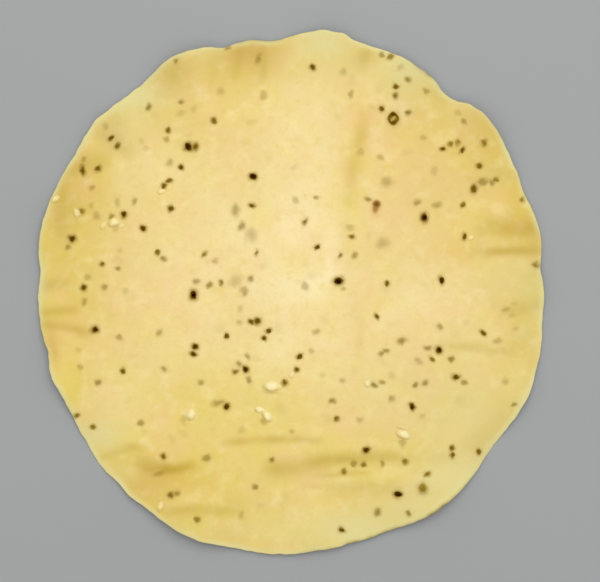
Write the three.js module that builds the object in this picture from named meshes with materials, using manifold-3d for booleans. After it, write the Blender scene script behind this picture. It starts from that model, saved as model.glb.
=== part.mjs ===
// A raw papadum: a thin dried disc of lentil dough with a lobed, wavy rim, soft pleats, and cracked pepper,
// pale seeds and chilli pressed into its upper face. Millimetres, +Z up. It lies on z = 0 with the seeded
// face up, the origin is on the table under the middle of the disc, and +Y is its top edge seen from above.
import * as THREE from "three";
import { mergeVertices } from "three/addons/utils/BufferGeometryUtils.js";
import Module from "manifold-3d";

// Driving dimensions
const MEAN_DIAMETER = 177.5;
const SHEET_THICKNESS = 0.55;
const RIM_THICKNESS = 0.4;
const DOME_RISE = 2.2;
const RINGS = 24;

// How the faces are shaped towards the rim: powers of the distance from the middle
const RIM_WAVE_POWER = 5;
const RIM_TAPER_POWER = 12;

// Lobes and dents of the outline: bearing and half-width in degrees, rise in mm
const EDGE_LOBES = [
  { bearing: 5.5, half: 5, rise: -2 },
  { bearing: 23, half: 5, rise: -1.2 },
  { bearing: 41.5, half: 7, rise: 1.85 },
  { bearing: 51, half: 4, rise: -2.4 },
  { bearing: 66, half: 9, rise: 1 },
  { bearing: 78.5, half: 1.6, rise: 0.9 },
  { bearing: 82.5, half: 5, rise: 2.3 },
  { bearing: 94, half: 4, rise: -1.45 },
  { bearing: 104.5, half: 3.5, rise: -1.3 },
  { bearing: 115.5, half: 6.5, rise: 1.85 },
  { bearing: 126.5, half: 3, rise: -0.5 },
  { bearing: 139, half: 4, rise: 1.1 },
  { bearing: 148, half: 5, rise: -0.3 },
  { bearing: 159, half: 9, rise: 0.45 },
  { bearing: 176, half: 4, rise: -1.1 },
  { bearing: 193.5, half: 3, rise: -0.85 },
  { bearing: 196, half: 24, rise: -1.85 },
  { bearing: 200, half: 3, rise: 0.7 },
  { bearing: 208, half: 8, rise: -0.8 },
  { bearing: 223, half: 4.5, rise: 0.8 },
  { bearing: 231.5, half: 3, rise: 0.9 },
  { bearing: 238, half: 3, rise: 0.3 },
  { bearing: 247, half: 9, rise: 2.3 },
  { bearing: 266, half: 12, rise: 1.65 },
  { bearing: 304.5, half: 9.5, rise: 1.7 },
  { bearing: 323, half: 5.5, rise: -0.9 },
  { bearing: 336, half: 4.5, rise: 0.4 },
  { bearing: 356, half: 7, rise: -1.4 },
];

// Stretches of the rim that stand off the table, and the three that dip to it: bearing and half-width in
// degrees, rise in mm
const RIM_WAVES = [
  { bearing: 3, half: 7, rise: 1.8 },
  { bearing: 40, half: 9, rise: 3.2 },
  { bearing: 64, half: 6, rise: 1.4 },
  { bearing: 81, half: 6, rise: 2.6 },
  { bearing: 115, half: 9, rise: 3 },
  { bearing: 140, half: 6, rise: 1.6 },
  { bearing: 165, half: 8, rise: 2.2 },
  { bearing: 197, half: 9, rise: 2.4 },
  { bearing: 246, half: 11, rise: 2.6 },
  { bearing: 275, half: 8, rise: 1.2 },
  { bearing: 304, half: 9, rise: 2.4 },
  { bearing: 335, half: 7, rise: 1.8 },
  { bearing: 95, half: 6, rise: -0.5 },
  { bearing: 220, half: 6, rise: -0.75 },
  { bearing: 322.5, half: 5, rise: -0.5 },
];

// Broad swells of the sheet: middle, half-lengths along X and Y, and rise
const SWELLS = [
  { at: [-4, 16], reach: [16, 52], rise: 0.9 },
  { at: [-46, -20], reach: [26, 30], rise: 0.7 },
  { at: [52, -22], reach: [22, 26], rise: 0.6 },
];

// Soft pleats: each runs from one end to the other with a bow to its left, and the sheet climbs by the lift
// on the left of the line and dips by as much on the right, at one width from it
const PLEATS = [
  { from: [-11, -62.4], to: [15, -60.4], bow: 0.4, width: 4.4, lift: 0.24 },
  { from: [3, -58.6], to: [39, -57.2], bow: 0.4, width: 2.8, lift: 0.28 },
  { from: [-48, -75], to: [-16, -74.8], bow: -0.6, width: 2.8, lift: 0.24 },
  { from: [-55, -59.3], to: [-32, -58.8], bow: -1.8, width: 2.2, lift: 0.26 },
  { from: [27.5, 66], to: [20, 29], bow: -1.2, width: 3.4, lift: 0.24 },
  { from: [62, 24.5], to: [98, 21], bow: 0, width: 3.6, lift: 0.38 },
  { from: [60, 13.9], to: [99, 14.6], bow: 0.2, width: 2.1, lift: 0.26 },
  { from: [71, -7], to: [98, -2], bow: -0.5, width: 2.4, lift: 0.26 },
  { from: [58, -57], to: [88, -31], bow: 0, width: 4, lift: 0.36 },
  { from: [67, 43], to: [97, 35], bow: 0, width: 3.2, lift: 0.3 },
  { from: [-99, -6.7], to: [-73, -6.4], bow: 0, width: 2, lift: 0.26 },
  { from: [-99, -10], to: [-68, -15], bow: 1.5, width: 2.2, lift: 0.26 },
  { from: [-77, 67], to: [-53, 46], bow: 0, width: 2.8, lift: 0.36 },
  { from: [-96, 38], to: [-60, 46.5], bow: 0, width: 3.2, lift: 0.3 },
  { from: [-79, 40], to: [-80, 18], bow: 0, width: 2.8, lift: 0.24 },
  { from: [-40, 70], to: [-36, 95], bow: 0.5, width: 2.8, lift: 0.3 },
  { from: [-28, 68], to: [-24, 95], bow: 0, width: 2.4, lift: 0.26 },
  { from: [-20, 72], to: [-15, 98], bow: 0, width: 2.2, lift: 0.34 },
  { from: [-11, 71], to: [-8, 98], bow: 0, width: 2.2, lift: 0.34 },
  { from: [23, 76], to: [31, 90], bow: 0, width: 2.6, lift: 0.3 },
  { from: [44, 82], to: [54, 63], bow: 0, width: 2.6, lift: 0.26 },
];

// Pieces fused to the upper face: how far each kind stands up, the size of the small pepper, and how much of
// the dark spot that it makes a large grain fills
const LARGE_PEPPER_STAND = 0.4;
const SMALL_PEPPER_SIZE = { length: 1.8, width: 1.5, stand: 0.3 };
const PALE_SEED_STAND = 0.45;
const CHILLI_STAND = 0.32;
const HUSK_RING_STAND = 0.4;
const GRAIN_SHARE = 0.72;
const SIZE_SPREAD = 0.15;
const SPICE_SEED = 20261;

// Large cracked pepper, seen from above: place, length and width of the dark spot, and turn in degrees
const LARGE_PEPPER = [
  [16.5, 3.9, 3.8, 3.1, 0], [-35.4, 50.4, 3.6, 3.4, 90], [-33, 50.4, 2.9, 2.3, 90],
  [-13, 40, 3.1, 2.6, -10], [-33.5, -0.9, 3.7, 3.1, 80], [46.1, 25.9, 3.6, 2.7, 95],
  [52, 4.4, 3.1, 2.1, 100], [51.2, -19.7, 3, 2.6, 120], [37.1, -69.6, 3.3, 2.6, 5],
  [26, -54.4, 2.9, 2.5, 40], [41.9, -39.4, 2.8, 2.2, 90], [-22.2, -39.3, 3, 2.6, 50],
  [63.2, 35.8, 3.4, 2.5, 85], [-75.4, 18.6, 3.1, 2.6, 160], [-67.5, -12.8, 3.1, 2.8, 0],
  [-33, -18.7, 2.7, 2.3, 150], [-33.6, -21.1, 2.6, 1.9, 0], [-11.5, -9.8, 3, 2.6, 0],
  [-13.7, -10.1, 2.5, 2, 0], [-15.6, -26.4, 2.8, 2.4, 90], [57, -29.1, 3, 2.2, -5],
  [-57.6, 26.9, 2.7, 2.5, 0], [-51, 22.1, 2.7, 2.2, 130], [-41.5, 28.9, 2.5, 2.2, 20],
  [45.6, -67.6, 3.8, 3.3, 100], [-72, 42.3, 3.5, 1.8, 95],
];

// Small pepper
const SMALL_PEPPER = [
  [-62, 53.5], [-60, 50.7], [-66.7, 42.9], [-42.3, 56.1], [-37.8, 43.2], [-42, 38.5], [-43.8, 36.8],
  [-26.4, 59.5], [7.6, 77.9], [31.6, 63.5], [36.3, 71.1], [52.3, 49.5], [55.2, 51.3], [59.1, 49.1],
  [66.7, 51.6], [65.2, 43.7], [71, 39], [59.6, 30.4], [60, 19.4], [-13.4, 29.9], [9, 15.7], [21, 19.2],
  [33.3, 3.2], [29.7, -8.1], [-72, 28], [-65, 10], [-46, 14], [-71.5, 1.9], [-22.1, -14.9],
  [-7.7, -13.2], [-9.2, -15.7], [3, -22], [2.1, -26.5], [-19.1, -27.2], [-2.2, -30.9], [-58, -27.1],
  [66.5, -13.9], [48.8, -22.9], [15.7, -43.5], [-74, -42.5], [-68.4, -46.5], [-43.9, -56.6],
  [-41.5, -69.8], [-32.2, -78.3], [55.5, -53.7], [55.9, -56.1], [65, -55], [25.2, -59.5], [39.4, -58.2],
  [47.1, -62.8], [18.3, -61.7], [17.6, -82],
];

// Pale seeds and chilli flakes: place, length, width and turn in degrees
const PALE_SEEDS = [
  [-6.5, -32.4, 4.9, 2.7, -3], [-8.2, -42.5, 3.6, 2.4, 126], [-10.7, -40.5, 2.9, 1.6, -5],
  [-34.3, -42.2, 3.2, 2.4, 60], [38.9, -49, 4, 2.6, -28], [-61, 24.2, 3.4, 2.6, 10],
  [-64.9, 23, 2.2, 1.7, 60], [-58.6, 23, 2, 1.4, 20], [-73.9, 27.6, 2.8, 2.2, 110],
  [-81.4, 32.4, 2.6, 2.1, 20], [62.3, 18.9, 1.8, 1.4, 30], [-45, -74, 3.2, 1.7, 70],
  [26.6, -31.5, 2.3, 1.9, 0], [-44.6, 35, 2.4, 1.5, 20], [0.4, -28.3, 2, 1.5, 60],
];
const CHILLI_FLAKES = [[29.6, 30.5, 3.2, 3.1, 10], [29.3, 29.3, 4.6, 2.7, 80]];

// An empty husk lying on its side: length, width and wall of the ring
const HUSK_RING = { at: [35.4, 60.1], length: 4.6, width: 4.4, wall: 1.6, turn: 90 };

const MEAN_RADIUS = MEAN_DIAMETER / 2;

// Sum of the bell-shaped rises of a list at one bearing
function risesAt(list, degrees) {
  let total = 0;
  for (const { bearing, half, rise } of list) {
    const apart = THREE.MathUtils.euclideanModulo(degrees - bearing + 180, 360) - 180;
    total += rise * Math.exp(-((apart / half) ** 2));
  }
  return total;
}

function edgeRadius(degrees) {
  return MEAN_RADIUS + risesAt(EDGE_LOBES, degrees);
}

// Height that one pleat adds at a point
function pleatHeight({ from, to, bow, width, lift }, x, y) {
  const run = new THREE.Vector2(to[0] - from[0], to[1] - from[1]);
  const out = new THREE.Vector2(x - from[0], y - from[1]);
  const along = out.dot(run) / run.lengthSq();
  if (along <= 0 || along >= 1) {
    return 0;
  }
  const fade = 1 - (2 * along - 1) ** 4;
  const beside = run.cross(out) / run.length() - bow * 4 * along * (1 - along);
  const widths = beside / width;
  return lift * fade * widths * Math.exp((1 - widths ** 2) / 2);
}

function swellHeight({ at, reach, rise }, x, y) {
  return rise * Math.exp(-(((x - at[0]) / reach[0]) ** 2) - ((y - at[1]) / reach[1]) ** 2);
}

// Share of the way from the middle of the disc to its edge
function shareOut(x, y) {
  const degrees = THREE.MathUtils.radToDeg(Math.atan2(y, x));
  return Math.hypot(x, y) / edgeRadius(degrees);
}

// Height of the middle of the sheet's thickness
function sheetHeight(x, y) {
  const out = shareOut(x, y);
  const degrees = THREE.MathUtils.radToDeg(Math.atan2(y, x));
  let height = DOME_RISE * (1 - out ** 2) + risesAt(RIM_WAVES, degrees) * out ** RIM_WAVE_POWER;
  for (const swell of SWELLS) {
    height += swellHeight(swell, x, y);
  }
  for (const pleat of PLEATS) {
    height += pleatHeight(pleat, x, y);
  }
  return height;
}

function sheetThickness(x, y) {
  const taper = Math.min(shareOut(x, y), 1) ** RIM_TAPER_POWER;
  return THREE.MathUtils.lerp(SHEET_THICKNESS, RIM_THICKNESS, taper);
}

// Direction straight out of the upper face
function sheetNormal(x, y) {
  const step = 0.5;
  const slopeX = (sheetHeight(x + step, y) - sheetHeight(x - step, y)) / (2 * step);
  const slopeY = (sheetHeight(x, y + step) - sheetHeight(x, y - step)) / (2 * step);
  return new THREE.Vector3(-slopeX, -slopeY, 1).normalize();
}

// Points of the disc in rings, six more in each ring than in the one inside it
function ringPoints() {
  const points = [[0, 0]];
  for (let ring = 1; ring <= RINGS; ring += 1) {
    const count = 6 * ring;
    for (let place = 0; place < count; place += 1) {
      const degrees = (360 * place) / count;
      const angle = THREE.MathUtils.degToRad(degrees);
      const radius = (edgeRadius(degrees) * ring) / RINGS;
      points.push([radius * Math.cos(angle), radius * Math.sin(angle)]);
    }
  }
  return points;
}

// Triangles between neighbouring rings, counter-clockwise seen from above
function ringTriangles() {
  const first = (ring) => (ring === 0 ? 0 : 1 + 3 * ring * (ring - 1));
  const index = (ring, place) => first(ring) + (ring === 0 ? 0 : place % (6 * ring));
  const triangles = [];
  for (let ring = 1; ring <= RINGS; ring += 1) {
    for (let sector = 0; sector < 6; sector += 1) {
      for (let step = 0; step < ring; step += 1) {
        const outer = sector * ring + step;
        const inner = sector * (ring - 1) + step;
        triangles.push([index(ring, outer), index(ring, outer + 1), index(ring - 1, inner)]);
        if (step < ring - 1) {
          triangles.push([index(ring - 1, inner), index(ring, outer + 1), index(ring - 1, inner + 1)]);
        }
      }
    }
  }
  return triangles;
}

// The bare sheet: two faces split into triangles alike and a narrow wall round the rim
function sheetGeometry() {
  const points = ringPoints();
  const triangles = ringTriangles();
  const positions = [];
  for (const side of [0.5, -0.5]) {
    for (const [x, y] of points) {
      positions.push(x, y, sheetHeight(x, y) + side * sheetThickness(x, y));
    }
  }
  const under = points.length;
  const indices = [];
  for (const [a, b, c] of triangles) {
    indices.push(a, b, c, under + a, under + c, under + b);
  }
  const rimCount = 6 * RINGS;
  const rimFirst = points.length - rimCount;
  for (let place = 0; place < rimCount; place += 1) {
    const here = rimFirst + place;
    const next = rimFirst + ((place + 1) % rimCount);
    indices.push(here, under + here, under + next, here, under + next, next);
  }
  const geometry = new THREE.BufferGeometry();
  geometry.setAttribute("position", new THREE.Float32BufferAttribute(positions, 3));
  geometry.setIndex(indices);
  return geometry;
}

// Seeded random numbers between 0 and 1
function randomSource(seed) {
  const MULTIPLIER = 48271;
  const MODULUS = 2147483647;
  let state = seed;
  return () => {
    state = (state * MULTIPLIER) % MODULUS;
    return state / MODULUS;
  };
}

// Seats a piece of spice on the upper face, its own Z along the face's normal
function seatOnSheet(geometry, [x, y], turnDegrees) {
  geometry.rotateZ(THREE.MathUtils.degToRad(turnDegrees));
  const up = new THREE.Vector3(0, 0, 1);
  geometry.applyQuaternion(new THREE.Quaternion().setFromUnitVectors(up, sheetNormal(x, y)));
  geometry.translate(x, y, sheetHeight(x, y) + sheetThickness(x, y) / 2);
  return geometry;
}

// A chip of spice with flat facets, half of it below the face
function chipGeometry({ length, width, stand }) {
  return new THREE.IcosahedronGeometry(1, 0).scale(length / 2, width / 2, stand);
}

// An empty husk lying on its side, seen as a ring
function huskRingGeometry({ length, width, wall }) {
  const RING_SIDES = 9;
  const TUBE_SIDES = 4;
  const ring = new THREE.TorusGeometry((length - wall) / 2, wall / 2, TUBE_SIDES, RING_SIDES);
  return ring.scale(1, width / length, (2 * HUSK_RING_STAND) / wall);
}

// All pieces of spice, the largest first
function spiceGeometries() {
  const random = randomSource(SPICE_SEED);
  const pieces = [];
  for (const [x, y, length, width, turn] of PALE_SEEDS) {
    pieces.push(seatOnSheet(chipGeometry({ length, width, stand: PALE_SEED_STAND }), [x, y], turn));
  }
  pieces.push(seatOnSheet(huskRingGeometry(HUSK_RING), HUSK_RING.at, HUSK_RING.turn));
  for (const [x, y, length, width, turn] of CHILLI_FLAKES) {
    pieces.push(seatOnSheet(chipGeometry({ length, width, stand: CHILLI_STAND }), [x, y], turn));
  }
  for (const [x, y, length, width, turn] of LARGE_PEPPER) {
    const size = { length: GRAIN_SHARE * length, width: GRAIN_SHARE * width, stand: LARGE_PEPPER_STAND };
    pieces.push(seatOnSheet(chipGeometry(size), [x, y], turn));
  }
  for (const at of SMALL_PEPPER) {
    const scale = 1 + SIZE_SPREAD * (2 * random() - 1);
    const { length, width, stand } = SMALL_PEPPER_SIZE;
    const chip = chipGeometry({ length: scale * length, width: scale * width, stand });
    pieces.push(seatOnSheet(chip, at, 360 * random()));
  }
  return pieces;
}

const wasm = await Module();
wasm.setup();

function toSolid(geometry) {
  geometry.deleteAttribute("normal");
  geometry.deleteAttribute("uv");
  const merged = mergeVertices(geometry, 1e-4);
  const vertProperties = new Float32Array(merged.attributes.position.array);
  const triVerts = new Uint32Array(merged.index.array);
  return new wasm.Manifold(new wasm.Mesh({ numProp: 3, vertProperties, triVerts }));
}

function toGeometry(solid) {
  const mesh = solid.getMesh();
  const geometry = new THREE.BufferGeometry();
  geometry.setAttribute("position", new THREE.BufferAttribute(mesh.vertProperties, 3));
  geometry.setIndex(new THREE.BufferAttribute(mesh.triVerts, 1));
  return geometry;
}

// The sheet with its spice, stood on the table with the middle of its outline over the origin
function papadumGeometry() {
  let solid = toSolid(sheetGeometry());
  for (const piece of spiceGeometries()) {
    solid = solid.add(toSolid(piece));
  }
  const geometry = toGeometry(solid);
  geometry.computeBoundingBox();
  const { min, max } = geometry.boundingBox;
  geometry.translate(-(min.x + max.x) / 2, -(min.y + max.y) / 2, -min.z);
  geometry.computeVertexNormals();
  return geometry;
}

const dough = new THREE.MeshStandardMaterial({ color: 0xeed48f, roughness: 0.55, metalness: 0 });
const papadum = new THREE.Mesh(papadumGeometry(), dough);
papadum.name = "papadum";

const model = new THREE.Group();
model.add(papadum);

export default model;
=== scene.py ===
import math

import bmesh
import bpy
import numpy as np
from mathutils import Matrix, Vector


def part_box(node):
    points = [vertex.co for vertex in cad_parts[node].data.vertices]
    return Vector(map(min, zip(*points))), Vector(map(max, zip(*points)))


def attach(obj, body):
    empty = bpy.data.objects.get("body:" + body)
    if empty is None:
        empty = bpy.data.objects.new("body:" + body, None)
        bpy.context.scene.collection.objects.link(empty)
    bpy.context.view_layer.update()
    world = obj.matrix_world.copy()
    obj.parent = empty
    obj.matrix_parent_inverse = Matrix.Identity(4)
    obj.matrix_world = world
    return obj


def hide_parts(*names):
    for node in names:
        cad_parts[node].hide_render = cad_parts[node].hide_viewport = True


# A raw papadum on a pale floor, seen straight from above: a thin wavy disc of lentil dough, and cracked
# pepper, pale seeds and chilli pressed into it. Lengths are in millimetres until a mesh is made in metres.

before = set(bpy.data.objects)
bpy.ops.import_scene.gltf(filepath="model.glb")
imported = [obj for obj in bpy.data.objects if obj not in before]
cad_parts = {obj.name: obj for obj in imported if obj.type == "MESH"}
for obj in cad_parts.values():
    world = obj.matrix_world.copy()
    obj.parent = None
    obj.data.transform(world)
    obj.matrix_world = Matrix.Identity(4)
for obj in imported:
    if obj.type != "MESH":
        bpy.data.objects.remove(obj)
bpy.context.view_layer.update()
CAD_NODE = "papadum"
MM = 0.001

# The sheet, with the same driving dimensions as the solid
MEAN_RADIUS = 177.5 / 2
SHEET_THICKNESS = 0.55
RIM_THICKNESS = 0.4
DOME_RISE = 2.2
RIM_WAVE_POWER = 5
RIM_TAPER_POWER = 12

# Rings of points in each face, how many more each has than the last, and rows round the wall of the rim
RINGS = 120
RING_STEP = 6
EDGE_ROWS = 3

# Lobes and dents of the outline: bearing and half-width in degrees, rise
EDGE_LOBES = [
    (5.5, 5, -2), (23, 5, -1.2), (41.5, 7, 1.85), (51, 4, -2.4), (66, 9, 1), (78.5, 1.6, 0.9),
    (82.5, 5, 2.3), (94, 4, -1.45), (104.5, 3.5, -1.3), (115.5, 6.5, 1.85), (126.5, 3, -0.5), (139, 4, 1.1),
    (148, 5, -0.3), (159, 9, 0.45), (176, 4, -1.1), (193.5, 3, -0.85), (196, 24, -1.85), (200, 3, 0.7),
    (208, 8, -0.8), (223, 4.5, 0.8), (231.5, 3, 0.9), (238, 3, 0.3), (247, 9, 2.3), (266, 12, 1.65),
    (304.5, 9.5, 1.7), (323, 5.5, -0.9), (336, 4.5, 0.4), (356, 7, -1.4),
]

# Stretches of the rim that stand off the table, and three that dip to it: bearing, half-width and rise
RIM_WAVES = [
    (3, 7, 1.8), (40, 9, 3.2), (64, 6, 1.4), (81, 6, 2.6), (115, 9, 3), (140, 6, 1.6), (165, 8, 2.2),
    (197, 9, 2.4), (246, 11, 2.6), (275, 8, 1.2), (304, 9, 2.4), (335, 7, 1.8),
    (95, 6, -0.5), (220, 6, -0.75), (322.5, 5, -0.5),
]

# Broad swells: middle, half-lengths along X and Y, rise
SWELLS = [
    ((-4, 16), (16, 52), 0.9),
    ((-46, -20), (26, 30), 0.7),
    ((52, -22), (22, 26), 0.6),
]

# Soft pleats: start, end, bow to the left, width, lift on the left, and how golden the line is (partly
# painted shade)
PLEATS = [
    ((-11, -62.4), (15, -60.4), 0.4, 4.4, 0.24, 0.42),
    ((3, -58.6), (39, -57.2), 0.4, 2.8, 0.28, 0.5),
    ((30, -57.3), (60, -58.5), 0.3, 2.4, 0.16, 0.2),
    ((-27, -52.6), (13, -51.4), 0.9, 1.7, 0.16, 0.42),
    ((8, -63.6), (29, -62.7), 0.2, 1.3, 0.12, 0.28),
    ((0, -67.6), (40, -66.6), 0.2, 1.9, 0.16, 0.15),
    ((9, -71), (54, -68.5), 0.8, 2.4, 0.18, 0.1),
    ((-48, -75), (-16, -74.8), -0.6, 2.8, 0.24, 0.32),
    ((-55, -59.3), (-32, -58.8), -1.8, 2.2, 0.26, 0.58),
    ((-55, -57), (-41, -60), 0.6, 1.6, 0.14, 0.25),
    ((-69, -58), (-49, -53.2), 0.9, 2, 0.2, 0.42),
    ((27.5, 66), (20, 29), -1.2, 3.4, 0.24, 0.34),
    ((21, 33), (19, 4), -0.6, 2.6, 0.14, 0.1),
    ((22, 6), (19.5, -34), 3, 2, 0.12, 0.11),
    ((62, 24.5), (98, 21), 0, 3.6, 0.38, 0.4),
    ((60, 13.9), (99, 14.6), 0.2, 2.1, 0.26, 0.6),
    ((71, -7), (98, -2), -0.5, 2.4, 0.26, 0.26),
    ((50, -19), (79, -21.5), 0.8, 2.2, 0.2, 0.26),
    ((58, -57), (88, -31), 0, 4, 0.36, 0.06),
    ((67, 43), (97, 35), 0, 3.2, 0.3, 0.25),
    ((-99, -6.7), (-73, -6.4), 0, 2, 0.26, 0.58),
    ((-99, -10), (-68, -15), 1.5, 2.2, 0.26, 0.6),
    ((-99, 3.5), (-74, 2.5), 0, 2.6, 0.2, 0.3),
    ((-77, 67), (-53, 46), 0, 2.8, 0.36, 0.2),
    ((-96, 38), (-60, 46.5), 0, 3.2, 0.3, 0.25),
    ((-79, 40), (-80, 18), 0, 2.8, 0.24, 0.3),
    ((-40, 70), (-36, 95), 0.5, 2.8, 0.3, 0.2),
    ((-28, 68), (-24, 95), 0, 2.4, 0.26, 0.15),
    ((-20, 72), (-15, 98), 0, 2.2, 0.34, 0.3),
    ((-11, 71), (-8, 98), 0, 2.2, 0.34, 0.5),
    ((23, 76), (31, 90), 0, 2.6, 0.3, 0.6),
    ((44, 82), (54, 63), 0, 2.6, 0.26, 0.3),
]

# Share of a pleat's width that its golden line, partly painted shade, takes
TINT_SHARE = 0.85

# Unevenness finer than the solid's: cell, height and seed of each layer
FINE_RELIEF = [(17, 0.16, 11), (7, 0.07, 12), (3, 0.02, 13)]
RIM_FLUTTER = (9, 0.35, 14)
RIM_FLUTTER_POWER = 14
EDGE_NIBBLES = [(4, 0.22, 15), (1.9, 0.14, 21)]
PLEAT_WANDER = (11, 0.7, 16)
TINT_UNEVENNESS = (6, 0.5, 17)
PALE_RIM_UNEVENNESS = (8, 0.7, 22)

# Large cracked pepper: place, length and width of the dark spot that it makes, turn in degrees, and darkness
LARGE_PEPPER = [
    (16.5, 3.9, 3.8, 3.1, 0, 1), (-35.4, 50.4, 3.6, 3.4, 90, 0.97), (-33, 50.4, 2.9, 2.3, 90, 0.78),
    (-13, 40, 3.1, 2.6, -10, 0.98), (-33.5, -0.9, 3.7, 3.1, 80, 1), (46.1, 25.9, 3.6, 2.7, 95, 0.98),
    (52, 4.4, 3.1, 2.1, 100, 0.94), (51.2, -19.7, 3, 2.6, 120, 0.96), (37.1, -69.6, 3.3, 2.6, 5, 0.97),
    (26, -54.4, 2.9, 2.5, 40, 0.92), (41.9, -39.4, 2.8, 2.2, 90, 0.95),
    (-22.2, -39.3, 3, 2.6, 50, 0.91), (63.2, 35.8, 3.4, 2.5, 85, 0.8),
    (-75.4, 18.6, 3.1, 2.6, 160, 0.88), (-67.5, -12.8, 3.1, 2.8, 0, 0.93),
    (-33, -18.7, 2.7, 2.3, 150, 0.92), (-33.6, -21.1, 2.6, 1.9, 0, 0.89),
    (-11.5, -9.8, 3, 2.6, 0, 0.83), (-13.7, -10.1, 2.5, 2, 0, 0.79), (-15.6, -26.4, 2.8, 2.4, 90, 0.94),
    (57, -29.1, 3, 2.2, -5, 0.86),
    (-57.6, 26.9, 2.7, 2.5, 0, 0.9), (-51, 22.1, 2.7, 2.2, 130, 0.88),
    (-41.5, 28.9, 2.5, 2.2, 20, 0.82), (45.6, -67.6, 3.8, 3.3, 100, 0.69),
    (-72, 42.3, 3.5, 1.8, 95, 0.81),
]

# Smaller dark pepper, from the darkest to the palest
DARK_PEPPER = [
    (9, 15.7), (-37.8, 43.2), (60, 19.4), (-22.1, -14.9), (-71.5, 1.9), (3, -22), (17.6, -82),
    (-9.2, -15.7), (-7.7, -13.2), (-62, 53.5), (7.6, 77.9), (52.3, 49.5), (31.6, 63.5), (2.1, -26.5),
    (59.1, 49.1), (66.5, -13.9), (-13.4, 29.9), (-43.8, 36.8), (-58, -27.1), (-66.7, 42.9), (29.7, -8.1),
    (65, -55), (33.3, 3.2), (36.3, 71.1), (55.9, -56.1), (-2.2, -30.9), (55.5, -53.7), (65.2, 43.7),
    (-42, 38.5), (-42.3, 56.1), (-60, 50.7), (-43.9, -56.6), (-26.4, 59.5), (-65, 10), (-46, 14),
    (-74, -42.5), (-41.5, -69.8), (59.6, 30.4), (48.8, -22.9), (15.7, -43.5), (-68.4, -46.5),
    (47.1, -62.8), (25.2, -59.5), (21, 19.2), (-19.1, -27.2), (39.4, -58.2), (55.2, 51.3), (-72, 28),
    (-32.2, -78.3), (66.7, 51.6), (34.4, 81.6), (18.3, -61.7), (71, 39),
]

# Olive spice that shows through the dough from just under its surface, from the darkest to the palest
BURIED_SPICE = [
    (-24, 3.5), (5, 24.4), (-11.8, 13.8), (36.2, 67.9), (-29.8, 13), (17.1, 12.7), (40.5, -76.3),
    (-49.2, 64.1), (55.3, -23), (-6.4, -57.7), (28.6, -31.9), (80.1, 32), (40.6, 62.2), (14.4, -37.2),
    (42.9, -31.9), (-27.9, 2.6), (57.7, 51.8), (-12.2, -67.1), (40.6, 73.7), (-66.5, -31), (-44, 11.7),
    (-62, 26.4), (59.8, -31), (26.8, 32.2), (-13.9, 4.7), (-17.7, -24.7), (31.5, -21.1),
    (33, -20), (21.7, -59.2), (46.3, -31.2), (-59.6, 8.2), (84.7, 9.7), (77, -38.7), (-37.8, 65.8),
    (-14.5, -30), (-51.8, -45.1), (-43.7, -26.2), (22, 12.8), (8.8, 32.9), (31.5, 82.3), (31.7, -59.1),
    (-54, 31.5), (-64.3, 1.7), (-76.8, 15.8), (-32.5, 4), (43.6, 31.1), (-15.6, 0), (51.4, -11.6),
    (46.8, 69.7), (-31, -31), (59.8, 59), (-14.8, -22), (20.7, 68.6), (34.7, -36.6), (-42.8, 53),
    (-59, -15.3), (-45.2, -13.8), (-71.3, -3.3), (-68.7, 36.3),
]

# Spice so deep that it is only a faint smudge, from the darkest to the palest; (-60.3, 22.3) and (-37.3,
# -44.5) are painted shade beside pale seeds
FAINT_SPICE_AND_SEED_SHADE = [
    (-71.5, 46), (4.9, 2.4), (8.8, -13.5), (-26, 11), (71.4, -16.8), (31, 46.8), (24, -44), (-67.1, 26.5),
    (44, -23.5), (1.7, 32), (-72.7, -25.8), (6.9, -19.9), (73.9, -30.5), (-70, 5.4), (-60, 31.3),
    (18.2, 76.2), (0.5, -47.8), (-64, 57.5), (-17.2, -76.7), (45.8, 53.5), (24.2, 48.6), (-60.3, 22.3),
    (-68.9, 30.2), (37.9, 77.9), (-17.4, -5.5), (49.5, 41.8), (-56.9, 0.6), (-37.8, 62), (57.8, 62),
    (45.3, -42.5), (-16.9, -47.5), (-51.6, 52.3), (-49.9, 49.9), (-33.3, 63.5), (34.7, -28.7),
    (11.3, -28.3), (-37.3, -44.5), (-73.4, -19.7), (-58.9, 14.7), (1.2, 43.2), (-14.2, 58.7),
]
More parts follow.
